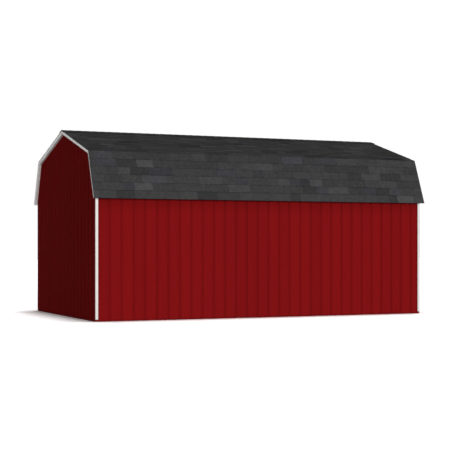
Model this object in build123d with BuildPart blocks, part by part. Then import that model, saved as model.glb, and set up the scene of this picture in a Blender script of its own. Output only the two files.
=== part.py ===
"""Barn shed with a gambrel roof: framed walls, grooved siding, trim boards, decks and shingles.

Millimetres, +Z up. The origin is the centre of the plan on the ground, X runs along the ridge,
the front long wall faces -Y and the left gable faces -X.
"""

import math
import os

from build123d import *

# Frame of the building, outside the studs and plates
frame_length = 6096
frame_width = 3556
plate_height = 2134

# Framing lumber: thickness of one board, depth of walls and rafters, spacing
lumber = 38
wall_depth = 89
rafter_depth = 89
stud_pitch = 609.6
gusset_thickness = 12
knee_gusset_arm = 260
ridge_gusset_arm = 300
gusset_setback = 6

# Gambrel line along the tops of the rafters
heel_clearance = 18.5
knee_inset = 257.5
knee_rise = 629.7
ridge_rise = 450
eave_drop = 140

# Sheets of the roof
deck_thickness = 12
shingle_thickness = 7
cap_thickness = 5
cap_reach = 150
shingle_lip = 10

# Siding with its vertical grooves, held clear of the ground
siding_thickness = 12
siding_lift = 6
groove_pitch = 203.2
groove_shift = 30
groove_width = 16
groove_depth = 3

# White trim boards and the eave soffit
corner_width = 48
corner_thickness = 19
corner_lift = 38
eased_edge = 2
rake_width = 51
rake_thickness = 38
soffit_thickness = 12

# How far every cut runs past the piece that it cuts
overrun = 10

# Faces and levels that several pieces share
siding_face = frame_width / 2 + siding_thickness
gable_face = frame_length / 2 + siding_thickness
eave_height = plate_height - eave_drop
tail_height = eave_height + soffit_thickness
heel_reach = siding_face + heel_clearance
knee_reach = heel_reach - knee_inset
knee_height = plate_height + knee_rise
ridge_height = knee_height + ridge_rise
deck_top = deck_thickness
shingle_top = deck_thickness + shingle_thickness
roof_end = gable_face + rake_thickness + shingle_lip

# Outward normals of the two slopes, as (across, up)
lower_length = math.hypot(knee_inset, knee_rise)
lower_normal = (knee_rise / lower_length, knee_inset / lower_length)
upper_length = math.hypot(knee_reach, ridge_rise)
upper_normal = (ridge_rise / upper_length, knee_reach / upper_length)

ends = {"left": -1, "right": 1}
sides = {"front": -1, "back": 1}


def write(piece, label):
    """Name a finished piece and write it to its own file."""
    piece.part.label = label
    export_step(piece.part, f"parts/{label}.step")


def centred_places(pitch, half_span):
    """Places a pitch apart about the middle, all nearer to it than half_span."""
    count = math.ceil(half_span / pitch) - 1
    return [step * pitch for step in range(-count, count + 1)]


# Points of the roof, out is the distance outside the rafter tops, square to the slope


def eave_point(height, out):
    """The point of the lower slope at a height."""
    across, up = lower_normal
    return (heel_reach + (out - up * (height - plate_height)) / across, height)


def lower_height(reach, out):
    """The height of the lower slope at a distance from the middle."""
    across, up = lower_normal
    return plate_height + (out - across * (reach - heel_reach)) / up


def knee_point(out, along_lower=0, along_upper=0):
    """The corner between the slopes, or a point down the lower or up the upper slope from it."""
    turn = 1 + lower_normal[0] * upper_normal[0] + lower_normal[1] * upper_normal[1]
    across = (lower_normal[0] + upper_normal[0]) * out / turn
    up = (lower_normal[1] + upper_normal[1]) * out / turn
    across += along_lower * lower_normal[1] - along_upper * upper_normal[1]
    up += along_upper * upper_normal[0] - along_lower * lower_normal[0]
    return (knee_reach + across, knee_height + up)


def ridge_point(out, along=0):
    """The point at the ridge, or down the upper slope from it."""
    up = out / upper_normal[1] - along * upper_normal[0]
    return (along * upper_normal[1], ridge_height + up)


def lower_sheet(inner, outer, foot=eave_height):
    """Outline of a sheet on the lower slope, cut level at its foot and mitred at the knee."""
    return [eave_point(foot, inner), eave_point(foot, outer), knee_point(outer), knee_point(inner)]


def upper_sheet(inner, outer):
    """Outline of a sheet on the upper slope, mitred at the knee and at the ridge."""
    return [knee_point(inner), knee_point(outer), ridge_point(outer), ridge_point(inner)]


def lower_rafter():
    """Outline of a lower rafter: a tail outside the siding and a notch that sits on the plate."""
    return [
        eave_point(tail_height, 0),
        knee_point(0),
        knee_point(-rafter_depth),
        eave_point(plate_height, -rafter_depth),
        (siding_face, plate_height),
        (siding_face, tail_height),
    ]


def under_roof(out, half_width, foot):
    """Right half of an outline from a foot up to the underside of the roof."""
    eave_corner = (half_width, lower_height(half_width, out))
    return [(half_width, foot), eave_corner, knee_point(out), ridge_point(out)]


def mirrored(points):
    """The points with their copies on the other side of the middle, as one closed outline."""
    return points + [(-across, up) for across, up in reversed(points) if across != 0]


def on_side(points, side):
    """The points of a front or back outline."""
    return [(side * across, up) for across, up in points]


def wall_plane(side, distance):
    """Upright plane along the building, facing out, with its X level."""
    return Plane(origin=(0, side * distance, 0), x_dir=(-side, 0, 0), z_dir=(0, side, 0))


def gable_plane(end, distance):
    """Upright plane across the building, facing out, with its X level."""
    return Plane(origin=(end * distance, 0, 0), x_dir=(0, end, 0), z_dir=(end, 0, 0))


os.makedirs("parts", exist_ok=True)

# Rafters and wall studs share their places, clear of the gable frames
rafter_places = centred_places(stud_pitch, frame_length / 2 - wall_depth - lumber)
rafter_planes = [Plane.YZ.offset(place) for place in rafter_places]
gusset_offset = (lumber + gusset_thickness) / 2
gusset_places = [place + face * gusset_offset for place in rafter_places for face in (-1, 1)]
gusset_planes = [Plane.YZ.offset(place) for place in gusset_places]

# Treated sills flat on the ground, under all four wall frames
gable_half = frame_width / 2 - wall_depth
for name, side in sides.items():
    with BuildPart() as sill:
        with BuildSketch():
            with Locations((0, side * (frame_width - wall_depth) / 2)):
                Rectangle(frame_length, wall_depth)
        extrude(amount=lumber)
    write(sill, f"{name}_sill")
for name, end in ends.items():
    with BuildPart() as gable_sill:
        with BuildSketch():
            with Locations((end * (frame_length - wall_depth) / 2, 0)):
                Rectangle(wall_depth, 2 * gable_half)
        extrude(amount=lumber)
    write(gable_sill, f"{name}_sill")

# Long wall frames: bottom plate, studs and a doubled top plate
end_stud = (frame_length - lumber) / 2
wall_studs = [-end_stud, *rafter_places, end_stud]
stud_height = plate_height - lumber
stud_middle = lumber + stud_height / 2
plate_middle = lumber + lumber / 2
for name, side in sides.items():
    with BuildPart() as wall_frame:
        with BuildSketch(wall_plane(side, frame_width / 2)):
            with Locations((0, plate_middle)):
                Rectangle(frame_length, lumber)
            with Locations((0, plate_height - lumber)):
                Rectangle(frame_length, 2 * lumber)
            with Locations(*[(place, stud_middle) for place in wall_studs]):
                Rectangle(lumber, stud_height)
        extrude(amount=-wall_depth)
    write(wall_frame, f"{name}_wall_frame")

# Gable frames: bottom plate, studs up to the end rafters, and the end rafters on the wall plates
gable_end_stud = gable_half - lumber / 2
gable_inner_studs = centred_places(stud_pitch, gable_end_stud - lumber)
gable_studs = [-gable_end_stud, *gable_inner_studs, gable_end_stud]
for name, end in ends.items():
    with BuildPart() as gable_frame:
        with BuildSketch(gable_plane(end, frame_length / 2)):
            with Locations(*[(place, ridge_height / 2) for place in gable_studs]):
                Rectangle(lumber, ridge_height)
            with Locations((0, plate_middle)):
                Rectangle(2 * gable_half, lumber)
            with BuildLine():
                Polyline(*mirrored(under_roof(-rafter_depth, gable_half, lumber)), close=True)
            make_face(mode=Mode.INTERSECT)
            for side in sides.values():
                with BuildLine():
                    Polyline(*on_side(lower_rafter(), side), close=True)
                make_face()
                with BuildLine():
                    Polyline(*on_side(upper_sheet(-rafter_depth, 0), side), close=True)
                make_face()
        extrude(amount=-wall_depth)
    write(gable_frame, f"{name}_gable_frame")

# Rafters of both slopes, one at each stud
for name, side in sides.items():
    for slope, outline in (("lower", lower_rafter()), ("upper", upper_sheet(-rafter_depth, 0))):
        with BuildPart() as rafters:
            with BuildSketch(*rafter_planes):
                with BuildLine():
                    Polyline(*on_side(outline, side), close=True)
                make_face()
            extrude(amount=lumber / 2, both=True)
        write(rafters, f"{name}_{slope}_rafters")

# Plywood gussets on both faces of every rafter joint
knee_gusset = [
    knee_point(-gusset_setback, along_lower=knee_gusset_arm),
    knee_point(-gusset_setback),
    knee_point(-gusset_setback, along_upper=knee_gusset_arm),
    knee_point(-rafter_depth, along_upper=knee_gusset_arm),
    knee_point(-rafter_depth, along_lower=knee_gusset_arm),
]
for name, side in sides.items():
    with BuildPart() as knee_gussets:
        with BuildSketch(*gusset_planes):
            with BuildLine():
                Polyline(*on_side(knee_gusset, side), close=True)
            make_face()
        extrude(amount=gusset_thickness / 2, both=True)
    write(knee_gussets, f"{name}_knee_gussets")

ridge_gusset = [
    ridge_point(-rafter_depth, along=ridge_gusset_arm),
    ridge_point(-gusset_setback, along=ridge_gusset_arm),
    ridge_point(-gusset_setback),
]
with BuildPart() as ridge_gussets:
    with BuildSketch(*gusset_planes):
        with BuildLine():
            Polyline(*mirrored(ridge_gusset), close=True)
        make_face()
    extrude(amount=gusset_thickness / 2, both=True)
write(ridge_gussets, "ridge_gussets")

# Long wall siding, grooved from its foot to the plate
siding_height = plate_height - siding_lift
siding_middle = siding_lift + siding_height / 2
groove_span = frame_length / 2 - groove_shift - groove_width
wall_grooves = [place + groove_shift for place in centred_places(groove_pitch, groove_span)]
for name, side in sides.items():
    with BuildPart() as siding:
        with BuildSketch(wall_plane(side, siding_face)):
            with Locations((0, siding_middle)):
                Rectangle(frame_length, siding_height)
        extrude(amount=-siding_thickness)
        with BuildSketch(wall_plane(side, siding_face)):
            with Locations(*[(place, siding_middle) for place in wall_grooves]):
                Rectangle(groove_width, siding_height + overrun)
        extrude(amount=-groove_depth, mode=Mode.SUBTRACT)
    write(siding, f"{name}_siding")

# Gable siding, up to the underside of the roof deck
gable_grooves = centred_places(groove_pitch, siding_face - groove_width)
for name, end in ends.items():
    with BuildPart() as gable_siding:
        with BuildSketch(gable_plane(end, gable_face)):
            with BuildLine():
                Polyline(*mirrored(under_roof(0, siding_face, siding_lift)), close=True)
            make_face()
        extrude(amount=-siding_thickness)
        with BuildSketch(gable_plane(end, gable_face)):
            with Locations(*[(place, ridge_height / 2) for place in gable_grooves]):
                Rectangle(groove_width, ridge_height + overrun)
        extrude(amount=-groove_depth, mode=Mode.SUBTRACT)
    write(gable_siding, f"{name}_gable_siding")

# Corner boards on the long walls, with their outer edges eased
corner_middle = (gable_face - corner_width / 2, siding_face + corner_thickness / 2)
for side_name, side in sides.items():
    for end_name, end in ends.items():
        with BuildPart() as corner_board:
            with BuildSketch(Plane.XY.offset(corner_lift)):
                with Locations((end * corner_middle[0], side * corner_middle[1])):
                    Rectangle(corner_width, corner_thickness)
            extrude(amount=eave_height - corner_lift)
            outer_edges = corner_board.edges().filter_by(Axis.Z).sort_by(Axis.Y)
            chamfer(outer_edges[:2] if side < 0 else outer_edges[-2:], length=eased_edge)
        write(corner_board, f"{side_name}_{end_name}_corner_board")

# Eave soffits between the siding and the deck, under the rafter tails
soffit = [
    (siding_face, eave_height),
    eave_point(eave_height, 0),
    eave_point(tail_height, 0),
    (siding_face, tail_height),
]
for name, side in sides.items():
    with BuildPart() as eave_soffit:
        with BuildSketch(Plane.YZ):
            with BuildLine():
                Polyline(*on_side(soffit, side), close=True)
            make_face()
        extrude(amount=gable_face, both=True)
    write(eave_soffit, f"{name}_eave_soffit")

# Rake boards against the gable siding, level with the deck
rake_inner = deck_top - rake_width
rakes = {"lower": lower_sheet(rake_inner, deck_top), "upper": upper_sheet(rake_inner, deck_top)}
for end_name, end in ends.items():
    for side_name, side in sides.items():
        for slope, outline in rakes.items():
            with BuildPart() as rake:
                with BuildSketch(Plane.YZ.offset(end * gable_face)):
                    with BuildLine():
                        Polyline(*on_side(outline, side), close=True)
                    make_face()
                extrude(amount=end * rake_thickness)
            write(rake, f"{end_name}_{side_name}_{slope}_rake")

# Roof decks, and the shingles that run over them and over the rake boards
for name, side in sides.items():
    for slope, sheet in (("lower", lower_sheet), ("upper", upper_sheet)):
        with BuildPart() as deck:
            with BuildSketch(Plane.YZ):
                with BuildLine():
                    Polyline(*on_side(sheet(0, deck_top), side), close=True)
                make_face()
            extrude(amount=gable_face, both=True)
        write(deck, f"{name}_{slope}_deck")
        with BuildPart() as shingles:
            with BuildSketch(Plane.YZ):
                with BuildLine():
                    Polyline(*on_side(sheet(deck_top, shingle_top), side), close=True)
                make_face()
            extrude(amount=roof_end, both=True)
        write(shingles, f"{name}_{slope}_shingles")

# Ridge cap, bent over the top of both upper slopes
cap_top = shingle_top + cap_thickness
cap_half = [
    ridge_point(shingle_top, along=cap_reach),
    ridge_point(cap_top, along=cap_reach),
    ridge_point(cap_top),
]
with BuildPart() as ridge_cap:
    with BuildSketch(Plane.YZ):
        with BuildLine():
            Polyline(*mirrored(cap_half), ridge_point(shingle_top), close=True)
        make_face()
    extrude(amount=roof_end, both=True)
write(ridge_cap, "ridge_cap")
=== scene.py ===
"""Dresses the barn shed: stained siding, painted trim, laid shingles, nails and a studio stage."""

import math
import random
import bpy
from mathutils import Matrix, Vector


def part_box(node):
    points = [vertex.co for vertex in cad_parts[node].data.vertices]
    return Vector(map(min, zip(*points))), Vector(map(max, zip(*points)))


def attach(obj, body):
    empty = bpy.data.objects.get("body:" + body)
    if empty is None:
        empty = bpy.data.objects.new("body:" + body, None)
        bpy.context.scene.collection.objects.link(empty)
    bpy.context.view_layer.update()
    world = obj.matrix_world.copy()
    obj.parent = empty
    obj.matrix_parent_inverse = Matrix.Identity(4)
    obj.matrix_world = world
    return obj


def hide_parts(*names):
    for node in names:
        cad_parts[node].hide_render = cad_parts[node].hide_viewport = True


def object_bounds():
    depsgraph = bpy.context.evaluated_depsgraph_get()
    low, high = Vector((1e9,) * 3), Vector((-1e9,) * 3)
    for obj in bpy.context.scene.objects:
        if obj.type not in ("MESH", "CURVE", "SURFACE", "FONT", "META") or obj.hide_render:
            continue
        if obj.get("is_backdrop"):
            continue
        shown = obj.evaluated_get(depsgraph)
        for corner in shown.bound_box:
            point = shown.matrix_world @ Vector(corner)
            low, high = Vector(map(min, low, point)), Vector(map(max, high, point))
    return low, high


bl_info = {
    "name": "Barn Shed",
    "version": (1, 0, 0),
    "blender": (4, 5, 0),
    "location": "View3D > Sidebar > Barn Shed",
    "description": "Dresses a gambrel barn shed with shingles, stain, paint, nails and a stage",
    "category": "Add Mesh",
}

import bmesh
import bpy
import numpy as np
from bpy.props import FloatProperty, FloatVectorProperty, IntProperty, PointerProperty
from mathutils import Vector

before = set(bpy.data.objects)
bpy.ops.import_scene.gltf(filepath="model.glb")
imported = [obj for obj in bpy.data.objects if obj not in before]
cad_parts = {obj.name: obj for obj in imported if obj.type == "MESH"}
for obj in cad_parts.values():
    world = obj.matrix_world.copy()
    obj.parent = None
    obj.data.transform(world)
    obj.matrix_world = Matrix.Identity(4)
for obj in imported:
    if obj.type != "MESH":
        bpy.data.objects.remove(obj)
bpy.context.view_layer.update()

MM = 0.001
SIDES = {"front": -1, "back": 1}
SIDE_NAMES = {side: name for name, side in SIDES.items()}
ENDS = {"left": -1, "right": 1}
SLOPES = ("lower", "upper")


# Settings that a user may change


def linear(hex_code):
    """The linear colour of an sRGB hex value."""
    parts = [int(hex_code[place:place + 2], 16) / 255 for place in (0, 2, 4)]
    return tuple(
        part / 12.92 if part <= 0.04045 else ((part + 0.055) / 1.055) ** 2.4 for part in parts
    )


def length(name, description, default):
    """A length in metres."""
    return FloatProperty(
        name=name, description=description, default=default,
        subtype="DISTANCE", unit="LENGTH", precision=4
    )


def colour(name, description, hex_code):
    """A colour."""
    return FloatVectorProperty(
        name=name, description=description, default=linear(hex_code),
        subtype="COLOR", size=3, min=0, max=1
    )


def angle(name, description, degrees):
    """An angle, given in degrees."""
    return FloatProperty(
        name=name, description=description, default=math.radians(degrees), subtype="ANGLE"
    )


def direction(name, description, default):
    """A direction in space."""
    return FloatVectorProperty(
        name=name, description=description, default=default, subtype="DIRECTION"
    )


def amount(name, description, default):
    """A plain number."""
    return FloatProperty(name=name, description=description, default=default)


class ShedSizes(bpy.types.PropertyGroup):
    """Sizes of what is laid on the frame."""

    exposure: length("Exposure", "Part of each shingle that the next course leaves open", 142 * MM)
    headlap: length("Headlap", "How far a shingle runs on under the second course above", 50 * MM)
    tab_narrow: length("Narrowest tab", "Least width of a shingle tab", 180 * MM)
    tab_wide: length("Widest tab", "Greatest width of a shingle tab", 430 * MM)
    layer: length("Shingle layer", "Thickness of one shingle", 2.6 * MM)
    tab_gap: length("Tab gap", "Gap between two tabs of a course", 2 * MM)
    butt_bevel: length("Butt bevel", "Worn bevel on the lower edge of a tab", 1 * MM)
    drip: length("Drip", "How far the first course hangs past the eave", 7 * MM)
    knee_drip: length("Knee drip", "How far the first upper course hangs past the knee", 2 * MM)
    starter_inset: length("Starter inset", "How far the starter strip stays back", 1 * MM)
    cap_half: length("Cap half width", "Reach of a ridge cap down each slope", 150 * MM)
    drip_thickness: length("Drip edge", "Thickness of the metal drip edge", 1.5 * MM)
    drip_inset: length("Drip edge inset", "How far it stays behind the shingles", 1 * MM)
    groove_pitch: length("Groove pitch", "Distance between the siding's grooves", 203.2 * MM)
    groove_shift: length("Groove shift", "How far a long wall's grooves lie off centre", 30 * MM)
    groove_width: length("Groove width", "Width of a groove of the siding", 16 * MM)
    stud_pitch: length("Stud pitch", "Distance between the studs that take the nails", 609.6 * MM)
    lumber: length("Lumber", "Thickness of a framing board", 38 * MM)
    sheet: length("Sheet", "Length of a plywood sheet", 2438.4 * MM)
    nail_radius: length("Nail radius", "Radius of a nail head", 4 * MM)
    nail_rise: length("Nail rise", "How far a nail head stands out", 1 * MM)
    nail_pitch: length("Nail pitch", "Distance between nails along a stud or a board", 305 * MM)
    seed: IntProperty(name="Seed", description="Seed of the shingle widths and tones", default=7)


class ShedColours(bpy.types.PropertyGroup):
    """Colours of the finishes."""

    barn_red: colour("Barn red", "Stain on the long walls", "821214")
    # The gables' red is a deeper copy of the long walls' red: painted shade
    gable_shaded_red: colour("Gable red", "Stain on the gables, a shade deeper", "790F0F")
    # Painted light: rakes and soffits, away from the key, get a brighter white than the corner
    # boards
    rake_brightened_white: colour("Rake white", "Fresh paint on the rake boards and soffits", "FDFCFA")
    corner_dulled_white: colour("Corner white", "Dusty paint on the corner boards", "E0DEDB")
    charcoal: colour("Charcoal", "Granules of the shingles", "3E3E3E")
    spruce: colour("Spruce", "Bare framing lumber", "CFAE7C")
    plywood: colour("Plywood", "Bare sheathing", "C49C67")
    # The sills' dark red is partly stain on treated timber and partly painted shade of their recess
    treated: colour("Treated timber", "Stained treated sills on the ground", "4A1A19")


class ShedStage(bpy.types.PropertyGroup):
    """Camera and light of the studio."""

    camera_place: FloatVectorProperty(
        name="Camera", description="Place of the camera", default=(-8.880, -20.337, 1.237),
        subtype="TRANSLATION", unit="LENGTH"
    )
    camera_turn: angle("Camera turn", "Turn of the level camera from facing the back", -23.639)
    camera_lens: FloatProperty(
        name="Lens", description="Focal length in millimetres", default=95.72,
        subtype="DISTANCE_CAMERA", unit="CAMERA"
    )
    camera_sensor: FloatProperty(
        name="Sensor", description="Width of the sensor in millimetres", default=36,
        subtype="DISTANCE_CAMERA", unit="CAMERA"
    )
    camera_shift: amount("Shift", "Upward shift of the level camera", 0.0421)
    camera_reach: length("Camera reach", "Greatest distance that the camera sees", 500)
    key_from: direction("Key from", "Direction that the key light comes from", (0.06, -0.98, 0.18))
    key_strength: amount("Key", "Strength of the key light", 2.15)
    key_spread: angle("Key spread", "Angle that the soft key light fills", 22)
    top_from: direction("Top from", "Direction that the top light comes from", (0.12, 0.03, 0.98))
    top_strength: amount("Top", "Strength of the top light", 0.95)
    top_spread: angle("Top spread", "Angle that the soft top light fills", 25)
    fill_strength: amount("Fill", "Strength of the light from all round", 0.42)
    backdrop_shown: amount("Backdrop shown", "White of the backdrop as it is seen", 1.02)
    floor_shown: amount("Floor shown", "White of the floor as it is seen", 2.45)
    contact_shown: amount("Contact shown", "White of the floor at the walls", 1.2)
    contact_reach: length("Contact reach", "How far the contact shadow reaches on the floor", 0.6)
    floor_glow: amount("Floor glow", "Even light that the floor sends up", 0.29)
    floor_size: length("Floor size", "Width of the studio floor", 160)


# Small helpers for modelling by operators


def deselect_all():
    """Leave nothing selected, so that an operator only meets the new piece."""
    for piece in bpy.context.selected_objects:
        piece.select_set(False)


def select_edges(piece, wanted):
    """In edit mode, select the edges whose two ends pass a test of their place."""
    mesh = bmesh.from_edit_mesh(piece.data)
    for edge in mesh.edges:
        edge.select_set(False)
    for edge in mesh.edges:
        edge.select_set(all(wanted(corner.co) for corner in edge.verts))
    mesh.select_flush_mode()
    bmesh.update_edit_mesh(piece.data)


def stretched(places, start, stop, modelled):
    """Places about the middle of a modelled length, moved apart to run from start to stop."""
    return (start + stop) / 2 + places + np.sign(places) * (stop - start - modelled) / 2


def joined(name, model, places, tones=None):
    """Join copies of a model, each put in place by a function; a fourth column becomes alpha."""
    points = np.array([tuple(corner.co) for corner in model.data.vertices])
    faces = [tuple(face.vertices) for face in model.data.polygons]
    copies = np.concatenate([place(points) for place in places])
    starts = [number * len(points) for number in range(len(places))]
    shifted = [tuple(corner + start for corner in face) for start in starts for face in faces]
    mesh = bpy.data.meshes.new(name)
    mesh.from_pydata(copies[:, :3].tolist(), [], shifted)
    if tones:
        shades = np.column_stack([np.repeat(tones, len(points), axis=0), copies[:, 3]])
        attribute = mesh.attributes.new("shade", "FLOAT_COLOR", "POINT")
        attribute.data.foreach_set("color", shades.ravel())
    bpy.data.objects.remove(model)
    piece = bpy.data.objects.new(name, mesh)
    bpy.context.scene.collection.objects.link(piece)
    return piece


def finish_piece(piece, material, slot, *nodes):
    """Give a new piece its finish, let it ride on the shed and stand for its nodes."""
    piece.data.materials.append(material)
    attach(piece, "root")
    if nodes:
        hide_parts(*nodes)


def coat(node, material):
    """Give a node of the frame its finish."""
    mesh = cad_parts[node].data
    mesh.materials.clear()
    mesh.materials.append(material)


# Materials


def new_material(name):
    """A material with its nodes and its shader."""
    material = bpy.data.materials.new(name)
    material.use_nodes = True
    return material, material.node_tree, material.node_tree.nodes["Principled BSDF"]


def add_node(tree, kind, settings=None, inputs=None):
    """Add a node with its settings, and set or link its inputs.

    A node that is given as an input stands for its first output. Inputs 1 to 4 of a Map Range are
    the ends of its span and the values there, and inputs 4 and 5 of a Mix are its two vectors.
    """
    node = tree.nodes.new(kind)
    for name, value in (settings or {}).items():
        setattr(node, name, value)
    for name, value in (inputs or {}).items():
        if isinstance(value, bpy.types.Node):
            value = value.outputs[0]
        if isinstance(value, bpy.types.NodeSocket):
            tree.links.new(value, node.inputs[name])
        else:
            node.inputs[name].default_value = value
    return node


def finish_shader(tree, shader, base, roughness, gloss, relief=None):
    """Link a shader's base colour, set its roughness and gloss, and give it a Bump's relief."""
    tree.links.new(base, shader.inputs["Base Color"])
    shader.inputs["Roughness"].default_value = roughness
    shader.inputs["Specular IOR Level"].default_value = gloss
    if relief:
        bump = add_node(tree, "ShaderNodeBump", inputs=relief)
        tree.links.new(bump.outputs[0], shader.inputs["Normal"])


def upright_scale(width, height):
    """The scale of a pattern whose marks are so wide and, along Z, so high."""
    return (1 / width, 1 / width, 1 / height)


def barn_red_stain(name, red, across, shift, painted_eave_shadow):
    """Solid acrylic stain on rough-sawn plywood siding: flat, streaked, with painted shade by the
    grooves.
    """
    sizes = bpy.context.scene.shed_sizes
    material, tree, shader = new_material(name)
    place = add_node(tree, "ShaderNodeTexCoord").outputs["Object"]
    parts = add_node(tree, "ShaderNodeSeparateXYZ", inputs={0: place}).outputs
    span = add_node(tree, "ShaderNodeMath", {"operation": "SUBTRACT"}, {0: parts[across], 1: shift})

    # Each board between two grooves took the stain a little differently
    pitch = sizes.groove_pitch
    board = add_node(tree, "ShaderNodeMath", {"operation": "DIVIDE"}, {0: span, 1: pitch})
    board = add_node(tree, "ShaderNodeMath", {"operation": "FLOOR"}, {0: board})
    board = add_node(tree, "ShaderNodeTexWhiteNoise", {"noise_dimensions": "1D"}, {"W": board})

    # Streaks are 60 mm wide and about a metre long, and the saw's grain is 5 mm wide
    streak_scale = upright_scale(60 * MM, 1100 * MM)
    streak = add_node(tree, "ShaderNodeMapping", inputs={"Vector": place, "Scale": streak_scale})
    streak = add_node(
        tree, "ShaderNodeTexNoise", inputs={"Vector": streak, "Scale": 1, "Detail": 3}
    )
    grain_scale = upright_scale(5 * MM, 160 * MM)
    grain = add_node(tree, "ShaderNodeMapping", inputs={"Vector": place, "Scale": grain_scale})
    grain = add_node(
        tree, "ShaderNodeTexNoise",
        inputs={"Vector": grain, "Scale": 1, "Detail": 4, "Roughness": 0.6}
    )
    tone = 0.695
    for pattern, share in ((board, 0.09), (streak, 0.16), (grain, 0.36)):
        tone = add_node(
            tree, "ShaderNodeMath", {"operation": "MULTIPLY_ADD"}, {0: pattern, 1: share, 2: tone}
        )

    # Painted shade darkens the stain by the grooves and at the foot, and a painted eave shadow the
    # wall's top
    near = add_node(tree, "ShaderNodeMath", {"operation": "PINGPONG"}, {0: span, 1: pitch / 2})
    groove_half = sizes.groove_width / 2
    fades = [
        (near, groove_half, groove_half + 40 * MM, 0.86, 1),
        (parts["Z"], 12 * MM, 52 * MM, 0.85, 1),
    ]
    # Painted shadow of the eave: the stain darkens over the top 260 mm of a long wall
    if painted_eave_shadow:
        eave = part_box("front_eave_soffit")[0].z
        fades.append((parts["Z"], eave - 260 * MM, eave, 1, 0.78))
    for value, start, stop, at_start, at_stop in fades:
        fade = add_node(
            tree, "ShaderNodeMapRange", {"interpolation_type": "SMOOTHSTEP"},
            {"Value": value, 1: start, 2: stop, 3: at_start, 4: at_stop}
        )
        tone = add_node(tree, "ShaderNodeMath", {"operation": "MULTIPLY"}, {0: tone, 1: fade})
    stain = add_node(
        tree, "ShaderNodeVectorMath", {"operation": "SCALE"}, {0: tuple(red), "Scale": tone}
    )

    # The inner face, whose normal points towards the middle of the shed, is bare plywood
    bare = add_node(
        tree, "ShaderNodeMapRange", inputs={"Value": streak, 1: 0.3, 2: 0.7, 3: 0.8, 4: 1.1}
    )
    plywood = tuple(bpy.context.scene.shed_colours.plywood)
    bare = add_node(
        tree, "ShaderNodeVectorMath", {"operation": "SCALE"}, {0: plywood, "Scale": bare}
    )
    out = "Y" if across == "X" else "X"
    facing = add_node(tree, "ShaderNodeNewGeometry").outputs["True Normal"]
    facing = add_node(tree, "ShaderNodeSeparateXYZ", inputs={0: facing}).outputs[out]
    inner = add_node(tree, "ShaderNodeMath", {"operation": "MULTIPLY"}, {0: facing, 1: parts[out]})
    inner = add_node(tree, "ShaderNodeMath", {"operation": "LESS_THAN"}, {0: inner, 1: -0.5})
    shown = add_node(
        tree, "ShaderNodeMix", {"data_type": "VECTOR"}, {0: inner, 4: stain, 5: bare}
    ).outputs[1]
    relief = {"Height": grain, "Strength": 0.6, "Distance": 1.2 * MM}
    finish_shader(tree, shader, shown, roughness=0.9, gloss=0.015, relief=relief)
    return material


def white_trim_paint(name, white, gloss, red_side_edges=False):
    """White acrylic paint brushed on planed pine: satin, with faint brush marks and some dust."""
    material, tree, shader = new_material(name)
    place = add_node(tree, "ShaderNodeTexCoord").outputs["Object"]
    dust = add_node(
        tree, "ShaderNodeTexNoise", inputs={"Vector": place, "Scale": 1 / (180 * MM), "Detail": 4}
    )
    tone = add_node(
        tree, "ShaderNodeMapRange", inputs={"Value": dust, 1: 0.3, 2: 0.7, 3: 0.94, 4: 1.02}
    )
    paint = add_node(
        tree, "ShaderNodeVectorMath", {"operation": "SCALE"}, {0: tuple(white), "Scale": tone}
    ).outputs[0]
    if red_side_edges:
        # The edges that face along the wall take the red of the siding instead of white
        facing = add_node(tree, "ShaderNodeNewGeometry").outputs["True Normal"]
        facing = add_node(tree, "ShaderNodeSeparateXYZ", inputs={0: facing}).outputs["X"]
        edge = add_node(tree, "ShaderNodeMath", {"operation": "ABSOLUTE"}, {0: facing})
        edge = add_node(tree, "ShaderNodeMath", {"operation": "GREATER_THAN"}, {0: edge, 1: 0.5})
        stain = tuple(bpy.context.scene.shed_colours.barn_red)
        paint = add_node(
            tree, "ShaderNodeMix", {"data_type": "VECTOR"}, {0: edge, 4: paint, 5: stain}
        ).outputs[1]
    brush_scale = upright_scale(4 * MM, 90 * MM)
    brush = add_node(tree, "ShaderNodeMapping", inputs={"Vector": place, "Scale": brush_scale})
    brush = add_node(tree, "ShaderNodeTexNoise", inputs={"Vector": brush, "Scale": 1, "Detail": 2})
    relief = {"Height": brush, "Strength": 0.15, "Distance": 0.5 * MM}
    finish_shader(tree, shader, paint, roughness=0.35, gloss=gloss, relief=relief)
    return material


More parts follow.
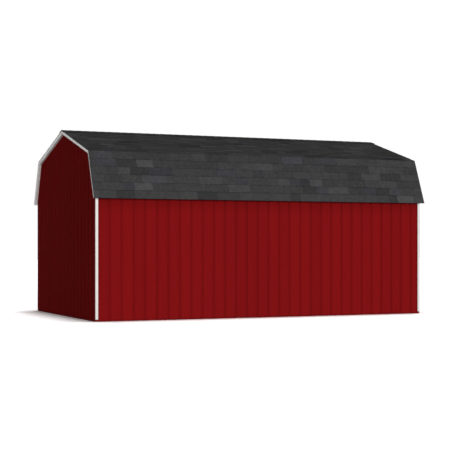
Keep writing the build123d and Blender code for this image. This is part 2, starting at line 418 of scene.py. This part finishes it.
def asphalt_granules():
    """Mineral granules pressed into asphalt: rough and speckled, each tab with its own shade."""
    material, tree, shader = new_material("asphalt_granules")
    place = add_node(tree, "ShaderNodeTexCoord").outputs["Object"]
    shade = add_node(tree, "ShaderNodeAttribute", {"attribute_name": "shade"}).outputs

    # Granules are about 2 mm, and are drawn at 5 mm so that they show, in patches of 55 mm
    speck = add_node(
        tree, "ShaderNodeTexNoise", inputs={"Vector": place, "Scale": 1 / (5 * MM), "Detail": 2}
    )
    patch = add_node(
        tree, "ShaderNodeTexNoise", inputs={"Vector": place, "Scale": 1 / (55 * MM), "Detail": 3}
    )
    tone = 0.15
    for pattern, share in ((speck, 1), (patch, 0.7)):
        tone = add_node(
            tree, "ShaderNodeMath", {"operation": "MULTIPLY_ADD"}, {0: pattern, 1: share, 2: tone}
        )

    # Alpha is the distance from the butt: the cut edge is bare black asphalt, and the granules just
    # below the butt of the course above are darker as painted shade
    open_part = bpy.context.scene.shed_sizes.exposure
    fades = ((0, 4 * MM, 0.4, 1), (open_part - 12 * MM, open_part - 2 * MM, 1, 0.85))
    for start, stop, at_start, at_stop in fades:
        fade = add_node(
            tree, "ShaderNodeMapRange",
            inputs={"Value": shade["Alpha"], 1: start, 2: stop, 3: at_start, 4: at_stop}
        )
        tone = add_node(tree, "ShaderNodeMath", {"operation": "MULTIPLY"}, {0: tone, 1: fade})
    charcoal = tuple(bpy.context.scene.shed_colours.charcoal)
    granules = add_node(
        tree, "ShaderNodeVectorMath", {"operation": "MULTIPLY"}, {0: shade["Color"], 1: charcoal}
    )
    granules = add_node(
        tree, "ShaderNodeVectorMath", {"operation": "SCALE"}, {0: granules, "Scale": tone}
    )
    relief = {"Height": speck, "Strength": 0.6, "Distance": 1.5 * MM}
    finish_shader(tree, shader, granules.outputs[0], roughness=1, gloss=0, relief=relief)
    return material


def grain_turn(along):
    """The turn that brings a direction upright, so that a grain drawn out upwards runs along it."""
    return tuple(Vector(along).rotation_difference(Vector((0, 0, 1))).to_euler())


def softwood(name, tint, along, plates=None):
    """Bare sawn softwood: pale, with rings drawn out along the grain of each kind of board."""
    material, tree, shader = new_material(name)
    place = add_node(tree, "ShaderNodeTexCoord").outputs["Object"]
    turned = add_node(
        tree, "ShaderNodeMapping", inputs={"Vector": place, "Rotation": grain_turn(along)}
    ).outputs[0]
    if plates:
        # The plates of a wall lie below one level and above another, with their own grain
        low, high, plate_along = plates
        level = add_node(tree, "ShaderNodeSeparateXYZ", inputs={0: place}).outputs["Z"]
        below = add_node(tree, "ShaderNodeMath", {"operation": "LESS_THAN"}, {0: level, 1: low})
        above = add_node(tree, "ShaderNodeMath", {"operation": "GREATER_THAN"}, {0: level, 1: high})
        plate = add_node(tree, "ShaderNodeMath", {"operation": "MAXIMUM"}, {0: below, 1: above})
        lying = add_node(
            tree, "ShaderNodeMapping", inputs={"Vector": place, "Rotation": grain_turn(plate_along)}
        )
        turned = add_node(
            tree, "ShaderNodeMix", {"data_type": "VECTOR"}, {0: plate, 4: turned, 5: lying}
        ).outputs[1]

    # Rings are about 14 mm apart on a sawn face, and run on for 420 mm
    ring_scale = upright_scale(14 * MM, 420 * MM)
    rings = add_node(tree, "ShaderNodeMapping", inputs={"Vector": turned, "Scale": ring_scale})
    rings = add_node(
        tree, "ShaderNodeTexNoise",
        inputs={"Vector": rings, "Scale": 1, "Detail": 5, "Roughness": 0.65, "Distortion": 0.6}
    )
    tone = add_node(
        tree, "ShaderNodeMapRange", inputs={"Value": rings, 1: 0.3, 2: 0.7, 3: 0.68, 4: 1.12}
    )
    wood = add_node(
        tree, "ShaderNodeVectorMath", {"operation": "SCALE"}, {0: tuple(tint), "Scale": tone}
    )
    relief = {"Height": rings, "Strength": 0.3, "Distance": 0.6 * MM}
    finish_shader(tree, shader, wood.outputs[0], roughness=0.8, gloss=0.2, relief=relief)
    return material


def sheathing_plywood(name, tint, sheet):
    """Bare softwood plywood: broad wavy grain of a peeled face, in sheets that differ a little."""
    material, tree, shader = new_material(name)
    place = add_node(tree, "ShaderNodeTexCoord").outputs["Object"]
    wave_scale = (1 / (900 * MM), 1 / (70 * MM), 1 / (70 * MM))
    waves = add_node(tree, "ShaderNodeMapping", inputs={"Vector": place, "Scale": wave_scale})
    waves = add_node(
        tree, "ShaderNodeTexNoise",
        inputs={"Vector": waves, "Scale": 1, "Detail": 6, "Roughness": 0.6, "Distortion": 1.2}
    )
    tone = add_node(
        tree, "ShaderNodeMapRange", inputs={"Value": waves, 1: 0.3, 2: 0.7, 3: 0.75, 4: 1.08}
    )

    # Sheets meet end to end along the building, and their 3 mm joint is drawn 8 mm wide to show
    run = add_node(tree, "ShaderNodeSeparateXYZ", inputs={0: place}).outputs["X"]
    number = add_node(tree, "ShaderNodeMath", {"operation": "DIVIDE"}, {0: run, 1: sheet})
    number = add_node(tree, "ShaderNodeMath", {"operation": "FLOOR"}, {0: number})
    shade = add_node(tree, "ShaderNodeTexWhiteNoise", {"noise_dimensions": "1D"}, {"W": number})
    shade = add_node(tree, "ShaderNodeMapRange", inputs={"Value": shade, 3: 0.86, 4: 1})
    joint = add_node(tree, "ShaderNodeMath", {"operation": "PINGPONG"}, {0: run, 1: sheet / 2})
    joint = add_node(
        tree, "ShaderNodeMapRange", inputs={"Value": joint, 1: 3 * MM, 2: 5 * MM, 3: 0.3, 4: 1}
    )
    for factor in (shade, joint):
        tone = add_node(tree, "ShaderNodeMath", {"operation": "MULTIPLY"}, {0: tone, 1: factor})
    wood = add_node(
        tree, "ShaderNodeVectorMath", {"operation": "SCALE"}, {0: tuple(tint), "Scale": tone}
    )
    finish_shader(tree, shader, wood.outputs[0], roughness=0.75, gloss=0.2)
    return material


# Geometry of the shed, read from the frame


def outer(low, high, sign):
    """The one of two limits that lies outwards on the negative or the positive side."""
    return low if sign < 0 else high


def outer_edge(node, side):
    """How far out a node reaches on its side, and its lowest and highest level."""
    low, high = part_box(node)
    return outer(low.y, high.y, side), low.z, high.z


def roof_lines(side):
    """The eave, knee and ridge of the deck's top on one side, as (across, up)."""
    eave_across, eave_up, knee_up = outer_edge(f"{SIDE_NAMES[side]}_lower_deck", side)
    knee_across, _, ridge_up = outer_edge(f"{SIDE_NAMES[side]}_upper_deck", side)
    return (
        np.array([eave_across, eave_up]), np.array([knee_across, knee_up]), np.array([0, ridge_up])
    )


def slope_axes(side, slope):
    """Foot of a slope, its direction upwards, its outward direction and its length."""
    eave, knee, ridge = roof_lines(side)
    foot, head = (eave, knee) if slope == "lower" else (knee, ridge)
    run = head - foot
    reach = float(np.hypot(*run))
    up = run / reach
    out = np.array([side * up[1], abs(up[0])])
    return foot, up, out, reach


def tab_tone(draw):
    """A tab's tone: mostly near the middle, now and then paler, darker or purplish."""
    tone = draw.gauss(1, 0.085)
    chance = draw.random()
    if chance < 0.14:
        tone *= draw.uniform(1.14, 1.32)
    elif chance > 0.84:
        tone *= draw.uniform(0.75, 0.9)
    tint = draw.uniform(0, 0.07) if draw.random() < 0.16 else 0
    return (tone * (1 - tint / 2), tone * (1 - tint), tone * (1 + tint))


# Operators


class SHED_OT_stain_siding(bpy.types.Operator):
    """Stain the grooved siding of all four walls"""

    bl_idname = "shed.stain_siding"
    bl_label = "Stain Siding"

    def execute(self, context):
        colours = context.scene.shed_colours
        shift = context.scene.shed_sizes.groove_shift
        for name, side in SIDES.items():
            # Each long wall's stain carries the painted shadow of the eave
            stain = barn_red_stain(
                f"barn_red_{name}_stain", colours.barn_red, "X", -side * shift, painted_eave_shadow=True
            )
            coat(f"{name}_siding", stain)
        # The gables take the deeper red, which is painted shade
        gable_shaded_stain = barn_red_stain(
            "barn_red_gable_stain", colours.gable_shaded_red, "Y", 0, painted_eave_shadow=False
        )
        for end in ENDS:
            coat(f"{end}_gable_siding", gable_shaded_stain)
        return {"FINISHED"}


class SHED_OT_paint_trim(bpy.types.Operator):
    """Paint the corner boards, rake boards and soffits white"""

    bl_idname = "shed.paint_trim"
    bl_label = "Paint Trim"

    def execute(self, context):
        colours = context.scene.shed_colours
        # Painted light: the rakes and soffits take the brighter white, the corner boards the duller
        # one
        paint = white_trim_paint("white_rake_paint", colours.rake_brightened_white, gloss=1)
        corner_paint = white_trim_paint(
            "white_corner_paint", colours.corner_dulled_white, gloss=0.5, red_side_edges=True
        )
        for side in SIDES:
            coat(f"{side}_eave_soffit", paint)
            for end in ENDS:
                coat(f"{side}_{end}_corner_board", corner_paint)
                for slope in SLOPES:
                    coat(f"{end}_{side}_{slope}_rake", paint)
        return {"FINISHED"}


class SHED_OT_finish_framing(bpy.types.Operator):
    """Give the bare framing, sheathing and sills their wood"""

    bl_idname = "shed.finish_framing"
    bl_label = "Finish Framing"

    def execute(self, context):
        colours = context.scene.shed_colours
        sizes = context.scene.shed_sizes
        lengthwise, crosswise, upright = (1, 0, 0), (0, 1, 0), (0, 0, 1)

        # A long wall has one plate below and two above, and a gable has one below
        low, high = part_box("front_wall_frame")
        plate_top = low.z + sizes.lumber
        wall_plates = (plate_top, high.z - 2 * sizes.lumber, lengthwise)
        gable_plates = (plate_top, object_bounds()[1].z, crosswise)
        wall = softwood("spruce_wall", colours.spruce, upright, wall_plates)
        gable = softwood("spruce_gable", colours.spruce, upright, gable_plates)
        decking = sheathing_plywood("plywood_deck", colours.plywood, sizes.sheet)
        gussets = softwood("plywood_gussets", colours.plywood, crosswise)
        for name, side in SIDES.items():
            # The sills take the dark red that is partly painted shade
            coat(f"{name}_sill", softwood(f"treated_{name}", colours.treated, lengthwise))
            coat(f"{name}_wall_frame", wall)
            coat(f"{name}_knee_gussets", gussets)
            for slope in SLOPES:
                up = slope_axes(side, slope)[1]
                rafters = softwood(f"spruce_{name}_{slope}", colours.spruce, (0, *up))
                coat(f"{name}_{slope}_deck", decking)
                coat(f"{name}_{slope}_rafters", rafters)
        for end in ENDS:
            # The sills take the dark red that is partly painted shade
            coat(f"{end}_sill", softwood(f"treated_{end}", colours.treated, crosswise))
            coat(f"{end}_gable_frame", gable)
        coat("ridge_gussets", gussets)
        return {"FINISHED"}


class SHED_OT_fit_drip_edges(bpy.types.Operator):
    """Fit a thin metal drip edge along the rakes, under the side edges of the shingles"""

    bl_idname = "shed.fit_drip_edges"
    bl_label = "Fit Drip Edges"

    def execute(self, context):
        sizes = context.scene.shed_sizes
        # The drip edges share the rakes' brighter white, which is painted light
        paint = bpy.data.materials["white_rake_paint"]
        for name, end in ENDS.items():
            edge = self.model_edge(sizes, name, end)
            finish_piece(edge, paint, "white_trim")
        return {"FINISHED"}

    def model_edge(self, sizes, name, end):
        """One strip from eave to eave over the knees and the ridge, thickened inwards."""
        low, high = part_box(f"{name}_front_upper_rake")
        rake_face = outer(low.x, high.x, end)
        low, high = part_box("front_upper_shingles")
        lip = outer(low.x, high.x, end) - end * sizes.drip_inset
        eave, knee, ridge = roof_lines(-1)
        line = [eave, knee, ridge, knee * (-1, 1), eave * (-1, 1)]
        deselect_all()
        bpy.ops.mesh.primitive_plane_add(size=1)
        edge = bpy.context.object
        edge.name = f"{name}_drip_edge"
        bpy.ops.object.mode_set(mode="EDIT")
        mesh = bmesh.from_edit_mesh(edge.data)
        for corner in mesh.verts:
            across, up = line[0] if corner.co.y < 0 else line[1]
            corner.co = (rake_face if corner.co.x < 0 else lip, across, up)
        bmesh.update_edit_mesh(edge.data)
        bpy.ops.mesh.select_mode(type="EDGE")
        for start, stop in zip(line[1:], line[2:]):
            select_edges(edge, lambda place: np.allclose(place.yz, start, atol=sizes.layer))
            step = (0, *(stop - start))
            bpy.ops.mesh.extrude_region_move(TRANSFORM_OT_translate={"value": step})
        bpy.ops.mesh.select_all(action="SELECT")
        bpy.ops.mesh.normals_make_consistent(inside=False)
        bpy.ops.object.mode_set(mode="OBJECT")
        if sum(face.normal.z for face in edge.data.polygons) < 0:
            edge.data.flip_normals()
        thicken = edge.modifiers.new("thicken", "SOLIDIFY")
        thicken.thickness = sizes.drip_thickness
        thicken.offset = -1
        thicken.use_even_offset = True
        bpy.ops.object.modifier_apply(modifier=thicken.name)
        return edge


class SHED_OT_lay_shingles(bpy.types.Operator):
    """Lay courses of shingle tabs on the four slopes"""

    bl_idname = "shed.lay_shingles"
    bl_label = "Lay Shingles"

    def execute(self, context):
        sizes = context.scene.shed_sizes
        granules = asphalt_granules()
        draw = random.Random(sizes.seed)
        for side_name, side in SIDES.items():
            for slope in SLOPES:
                node = f"{side_name}_{slope}_shingles"
                places, tones = self.courses(sizes, draw, node, side, slope)
                field = joined(f"{side_name}_{slope}_tabs", self.model_tab(sizes), places, tones)
                finish_piece(field, granules, "asphalt_shingle", node)
        return {"FINISHED"}

    def model_tab(self, sizes):
        """One tab with its middle at the origin, its butt towards -Y and its face up."""
        deselect_all()
        bpy.ops.mesh.primitive_cube_add(size=1)
        tab = bpy.context.object
        bpy.ops.object.mode_set(mode="EDIT")
        bpy.ops.mesh.select_all(action="SELECT")
        bpy.ops.transform.resize(value=(sizes.tab_wide, 2 * sizes.exposure, sizes.layer))
        bpy.ops.mesh.select_mode(type="EDGE")
        select_edges(tab, lambda place: place.y < 0 and place.z > 0)
        bpy.ops.mesh.bevel(offset=sizes.butt_bevel, segments=1, affect="EDGES")
        bpy.ops.object.mode_set(mode="OBJECT")
        return tab

    def courses(self, sizes, draw, node, side, slope):
        """The place and the tone of every tab on one slope, from the starter strip upwards."""
        foot, up, out, reach = slope_axes(side, slope)
        low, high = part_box(node)
        rows = max(1, round(reach / sizes.exposure))
        exposure = reach / rows

        # The starter strip is two layers thick at the eave, and one layer will do at the knee
        if slope == "lower":
            drip, base = sizes.drip, 2 * sizes.layer
        else:
            drip, base = sizes.knee_drip, sizes.layer
        starter = (sizes.starter_inset - drip, exposure)
        places = [self.place_tab(sizes, (low.x, high.x), starter, 0, base, (foot, up, out))]
        tones = [tab_tone(draw)]
        for row in range(rows):
            left = low.x
            width = draw.uniform(sizes.tab_narrow, sizes.tab_wide) * draw.uniform(0.3, 1)
            while left < high.x - sizes.tab_gap:
                right = min(left + width, high.x)
                if high.x - right < sizes.tab_narrow / 2:
                    right = high.x
                butt = row * exposure - (drip if row == 0 else draw.uniform(-1, 1) * MM)
                lift = 2 * sizes.layer if row else base
                head = min((row + 2) * exposure + sizes.headlap, reach)
                layer = sizes.layer * draw.uniform(0.9, 1.5)
                span = (left, right - sizes.tab_gap if right < high.x else right)
                run = (butt, head)
                places.append(self.place_tab(sizes, span, run, lift, layer, (foot, up, out)))
                tones.append(tab_tone(draw))
                left = right
                width = draw.uniform(sizes.tab_narrow, sizes.tab_wide)
        return places, tones

    def place_tab(self, sizes, span, run, lift, layer, axes):
        """A function that stretches a modelled tab to its place, its butt lifted off the deck."""
        foot, up, out = axes
        butt, head = run

        def place(points):
            across = stretched(points[:, 0], *span, sizes.tab_wide)
            along = stretched(points[:, 1], butt, head, 2 * sizes.exposure)
            share = np.maximum(0, 1 - (along - butt) / (2 * sizes.exposure))
            face = layer + points[:, 2] - sizes.layer / 2
            rise = lift * share + np.where(points[:, 2] > 0, face, 0)
            across_up = foot + np.outer(along, up) + np.outer(rise, out)
            return np.column_stack([across, across_up, along - butt])

        return place


class SHED_OT_cap_ridge(bpy.types.Operator):
    """Bend a row of shingle caps over the ridge"""

    bl_idname = "shed.cap_ridge"
    bl_label = "Cap Ridge"

    def execute(self, context):
        sizes = context.scene.shed_sizes
        draw = random.Random(sizes.seed + 1)
        low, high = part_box("ridge_cap")
        count = round((high.x - low.x) / sizes.exposure)
        exposure = (high.x - low.x) / count
        foot, up, out, reach = slope_axes(-1, "upper")
        fall = up[1] / up[0]

        # The caps lie on the heads of the slopes, where tabs stand up to three layers off the deck
        seat = 3.2 * sizes.layer
        top = foot[1] + up[1] * reach + seat / out[1]
        places = [self.place_cap(sizes, (low.x, low.x + exposure), top, fall, sizes.layer)]
        tones = [tab_tone(draw)]
        for number in range(count):
            butt = low.x + number * exposure
            head = min(butt + 2 * exposure, high.x)
            places.append(self.place_cap(sizes, (butt, head), top, fall, 2 * sizes.layer))
            tones.append(tab_tone(draw))
        caps = joined("ridge_cap_tabs", self.model_cap(sizes), places, tones)
        granules = bpy.data.materials["asphalt_granules"]
        finish_piece(caps, granules, "asphalt_shingle", "ridge_cap")
        return {"FINISHED"}

    def model_cap(self, sizes):
        """One flat cap with its middle at the origin, cut along the middle so that it can bend."""
        deselect_all()
        bpy.ops.mesh.primitive_cube_add(size=1)
        cap = bpy.context.object
        bpy.ops.object.mode_set(mode="EDIT")
        bpy.ops.mesh.select_all(action="SELECT")
        bpy.ops.transform.resize(value=(2 * sizes.exposure, 2 * sizes.cap_half, sizes.layer))
        for share in (-0.08, 0, 0.08):
            bpy.ops.mesh.select_all(action="SELECT")
            bpy.ops.mesh.bisect(plane_co=(0, share * sizes.cap_half, 0), plane_no=(0, 1, 0))
        bpy.ops.object.mode_set(mode="OBJECT")
        return cap

    def place_cap(self, sizes, run, top, fall, lift):
        """A function that bends a cap over the ridge, its butt lifted by the cap before it."""
        butt, head = run
        bend = 0.1 * sizes.cap_half

        def place(points):
            along = stretched(points[:, 0], butt, head, 2 * sizes.exposure)
            share = 1 - (along - butt) / (2 * sizes.exposure)
            drop = fall * (np.hypot(points[:, 1], bend) - bend)
            rise = lift * share + np.where(points[:, 2] > 0, sizes.layer, 0)
            return np.column_stack([along, points[:, 1], top - drop + rise, along - butt])

        return place


class SHED_OT_drive_nails(bpy.types.Operator):
    """Drive nails through the siding into the studs, and through the corner boards"""

    bl_idname = "shed.drive_nails"
    bl_label = "Drive Nails"

    def execute(self, context):
        sizes = context.scene.shed_sizes
        for name, side in SIDES.items():
            self.nail_wall(sizes, name, side)
        for name, end in ENDS.items():
            self.nail_gable(sizes, name, end)
        for name, side in SIDES.items():
            self.nail_corner_boards(sizes, name, side)
        return {"FINISHED"}

    def nail_wall(self, sizes, name, side):
        """Nails in the studs of a long wall."""
        low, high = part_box(f"{name}_siding")
        face = outer(low.y, high.y, side)
        levels = self.levels(low.z, high.z, sizes.nail_pitch)
        spots = [(stud, face, level) for stud in self.studs(sizes, high.x) for level in levels]
        stain = f"barn_red_{name}_stain"
        self.drive(sizes, f"{name}_siding_nails", spots, (0, side), stain, "red_siding")

    def nail_gable(self, sizes, name, end):
        """Nails in the studs of a gable, beside the grooves over them, up to the rake boards."""
        low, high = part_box(f"{name}_gable_siding")
        face = outer(low.x, high.x, end)
        beside = sizes.groove_width / 2 + 1.5 * sizes.nail_radius
        rake_room = 4 * beside
        spots = []
        for stud in self.studs(sizes, high.y):
            across = stud + beside
            top = self.gable_top(across) - rake_room
            spots += [(face, across, level) for level in self.levels(low.z, top, sizes.nail_pitch)]
        # The gable nails share the gable stain and its painted shade
        stain = "barn_red_gable_stain"
        self.drive(sizes, f"{name}_gable_nails", spots, (end, 0), stain, "red_siding")

    def nail_corner_boards(self, sizes, name, side):
        """Nails down the middle of both corner boards of a long wall."""
        spots = []
        for end_name in ENDS:
            low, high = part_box(f"{name}_{end_name}_corner_board")
            middle, face = (low.x + high.x) / 2, outer(low.y, high.y, side)
            levels = self.levels(low.z, high.z, 2 * sizes.nail_pitch)
            spots += [(middle, face, level) for level in levels]
        paint = "white_corner_paint"
        self.drive(sizes, f"{name}_trim_nails", spots, (0, side), paint, "white_trim")

    def studs(self, sizes, half):
        """The places of the studs along a wall, about its middle."""
        count = int(half / sizes.stud_pitch)
        return [number * sizes.stud_pitch for number in range(-count, count + 1)]

    def levels(self, low, high, pitch):
        """Even levels between two heights, about a pitch apart."""
        margin = pitch / 6
        run = high - low - 2 * margin
        count = max(1, round(run / pitch))
        return [low + margin + run * step / count for step in range(count + 1)]

    def gable_top(self, across):
        """The top of the deck above a place on a gable."""
        (eave, eave_up), (knee, knee_up), (ridge, ridge_up) = roof_lines(1)
        return float(np.interp(abs(across), [ridge, knee, eave], [ridge_up, knee_up, eave_up]))

    def drive(self, sizes, name, spots, outward, material, slot):
        """One piece with a nail head at every spot."""
        head = self.model_head(sizes)
        places = [self.place_head(spot, outward) for spot in spots]
        finish_piece(joined(name, head, places), bpy.data.materials[material], slot)

    def model_head(self, sizes):
        """One low round head, standing up from the origin."""
        deselect_all()
        bpy.ops.mesh.primitive_cylinder_add(
            vertices=10, radius=sizes.nail_radius, depth=2 * sizes.nail_rise
        )
        head = bpy.context.object
        bpy.ops.object.mode_set(mode="EDIT")
        bpy.ops.mesh.select_mode(type="EDGE")
        select_edges(head, lambda place: place.z > 0)
        bpy.ops.mesh.bevel(offset=0.4 * sizes.nail_rise, segments=1, affect="EDGES")
        bpy.ops.object.mode_set(mode="OBJECT")
        return head

    def place_head(self, spot, outward):
        """A function that turns a head to face outwards and puts it on its spot."""
        out_x, out_y = outward

        def place(points):
            across, up, rise = points.T
            return np.column_stack([
                spot[0] + rise * out_x - across * out_y,
                spot[1] + rise * out_y + across * out_x,
                spot[2] + up,
            ])

        return place


class SHED_OT_set_stage(bpy.types.Operator):
    """Set the floor, the light and the camera of the studio"""

    bl_idname = "shed.set_stage"
    bl_label = "Set Stage"

    def execute(self, context):
        stage = context.scene.shed_stage
        self.lay_floor(stage)
        self.hang_lights(context, stage)
        self.seat_camera(context, stage)
        context.scene.view_settings.view_transform = "Standard"
        return {"FINISHED"}

    def seen(self, tree):
        """A socket that is 1 for what the eye, a mirror or a pane sees, and 0 for light."""
        path = add_node(tree, "ShaderNodeLightPath").outputs
        shown = path["Is Camera Ray"]
        for ray in ("Is Glossy Ray", "Is Transmission Ray"):
            shown = add_node(
                tree, "ShaderNodeMath", {"operation": "MAXIMUM"}, {0: shown, 1: path[ray]}
            )
        return shown.outputs[0]

    def lay_floor(self, stage):
        """A pale floor that keeps the shadow, sends light up, and is clear when seen from below."""
        deselect_all()
        bpy.ops.mesh.primitive_plane_add(size=stage.floor_size)
        floor = bpy.context.object
        floor.name = "studio_floor"
        material, tree, shader = new_material("studio_floor")
        tree.nodes.remove(shader)
        # Ambient occlusion dims the floor's seen white near the walls: a painted contact shadow
        near = add_node(
            tree, "ShaderNodeAmbientOcclusion", inputs={"Distance": stage.contact_reach}
        ).outputs["AO"]
        white = add_node(
            tree, "ShaderNodeMapRange",
            inputs={"Value": near, 1: 0.5, 2: 1, 3: stage.contact_shown, 4: stage.floor_shown}
        )
        shown = add_node(tree, "ShaderNodeBsdfDiffuse", inputs={"Color": white})
        glow = add_node(tree, "ShaderNodeEmission", inputs={"Strength": stage.floor_glow})
        look = add_node(tree, "ShaderNodeMixShader", inputs={0: self.seen(tree), 1: glow, 2: shown})
        under = add_node(tree, "ShaderNodeNewGeometry").outputs["Backfacing"]
        clear = add_node(tree, "ShaderNodeBsdfTransparent")
        both = add_node(tree, "ShaderNodeMixShader", inputs={0: under, 1: look, 2: clear})
        tree.links.new(both.outputs[0], tree.nodes["Material Output"].inputs["Surface"])
        floor.data.materials.append(material)
        floor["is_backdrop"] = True

    def hang_lights(self, context, stage):
        """A soft key from the front, a weak top light, and a fill all round that fades upwards."""
        for name in ("key", "top"):
            light = bpy.data.lights.new(f"{name}_light", "SUN")
            light.energy = getattr(stage, f"{name}_strength")
            light.angle = getattr(stage, f"{name}_spread")
            lamp = bpy.data.objects.new(f"{name}_light", light)
            lamp.rotation_euler = getattr(stage, f"{name}_from").to_track_quat("Z", "Y").to_euler()
            context.scene.collection.objects.link(lamp)
        world = context.scene.world or bpy.data.worlds.new("studio")
        context.scene.world = world
        world.use_nodes = True
        tree = world.node_tree
        tree.nodes.clear()
        way = add_node(tree, "ShaderNodeTexCoord").outputs["Generated"]
        height = add_node(tree, "ShaderNodeSeparateXYZ", inputs={0: way}).outputs["Z"]
        level = add_node(
            tree, "ShaderNodeMapRange",
            inputs={"Value": height, 1: 0, 2: 1, 3: stage.fill_strength, 4: 0}
        )
        white = (1, 1, 1, 1)
        fill = add_node(tree, "ShaderNodeBackground", inputs={"Color": white, "Strength": level})
        backdrop = {"Color": white, "Strength": stage.backdrop_shown}
        shown = add_node(tree, "ShaderNodeBackground", inputs=backdrop)
        both = add_node(tree, "ShaderNodeMixShader", inputs={0: self.seen(tree), 1: fill, 2: shown})
        add_node(tree, "ShaderNodeOutputWorld", inputs={"Surface": both})

    def seat_camera(self, context, stage):
        """A level camera where the photographer stood, shifted up to frame the shed."""
        camera = bpy.data.cameras.new("photo_camera")
        camera.lens = stage.camera_lens
        camera.sensor_width = stage.camera_sensor
        camera.shift_y = stage.camera_shift
        camera.clip_end = stage.camera_reach
        seat = bpy.data.objects.new("photo_camera", camera)
        seat.location = stage.camera_place
        seat.rotation_euler = (math.radians(90), 0, stage.camera_turn)
        context.scene.collection.objects.link(seat)
        context.scene.camera = seat


class SHED_PT_panel(bpy.types.Panel):
    """The settings of the shed and the steps that dress it"""

    bl_idname = "SHED_PT_panel"
    bl_label = "Barn Shed"
    bl_space_type = "VIEW_3D"
    bl_region_type = "UI"
    bl_category = "Barn Shed"

    def draw(self, context):
        for name, group in GROUPS.items():
            box = self.layout.box()
            for setting in group.__annotations__:
                box.prop(getattr(context.scene, name), setting)
        for operator in OPERATORS:
            self.layout.operator(operator.bl_idname)


OPERATORS = (
    SHED_OT_stain_siding,
    SHED_OT_paint_trim,
    SHED_OT_finish_framing,
    SHED_OT_fit_drip_edges,
    SHED_OT_lay_shingles,
    SHED_OT_cap_ridge,
    SHED_OT_drive_nails,
    SHED_OT_set_stage,
)
GROUPS = {"shed_sizes": ShedSizes, "shed_colours": ShedColours, "shed_stage": ShedStage}


def register():
    """Register the properties, the operators and the panel."""
    for name, group in GROUPS.items():
        bpy.utils.register_class(group)
        setattr(bpy.types.Scene, name, PointerProperty(type=group))
    for item in (*OPERATORS, SHED_PT_panel):
        bpy.utils.register_class(item)


def unregister():
    """Take the panel, the operators and the properties away again."""
    for item in reversed((*OPERATORS, SHED_PT_panel)):
        bpy.utils.unregister_class(item)
    for name, group in reversed(GROUPS.items()):
        delattr(bpy.types.Scene, name)
        bpy.utils.unregister_class(group)


def main():
    """Dress the shed step by step."""
    register()
    bpy.ops.shed.stain_siding()
    bpy.ops.shed.paint_trim()
    bpy.ops.shed.finish_framing()
    bpy.ops.shed.fit_drip_edges()
    bpy.ops.shed.lay_shingles()
    bpy.ops.shed.cap_ridge()
    bpy.ops.shed.drive_nails()
    bpy.ops.shed.set_stage()


if __name__ == "__main__":
    main()
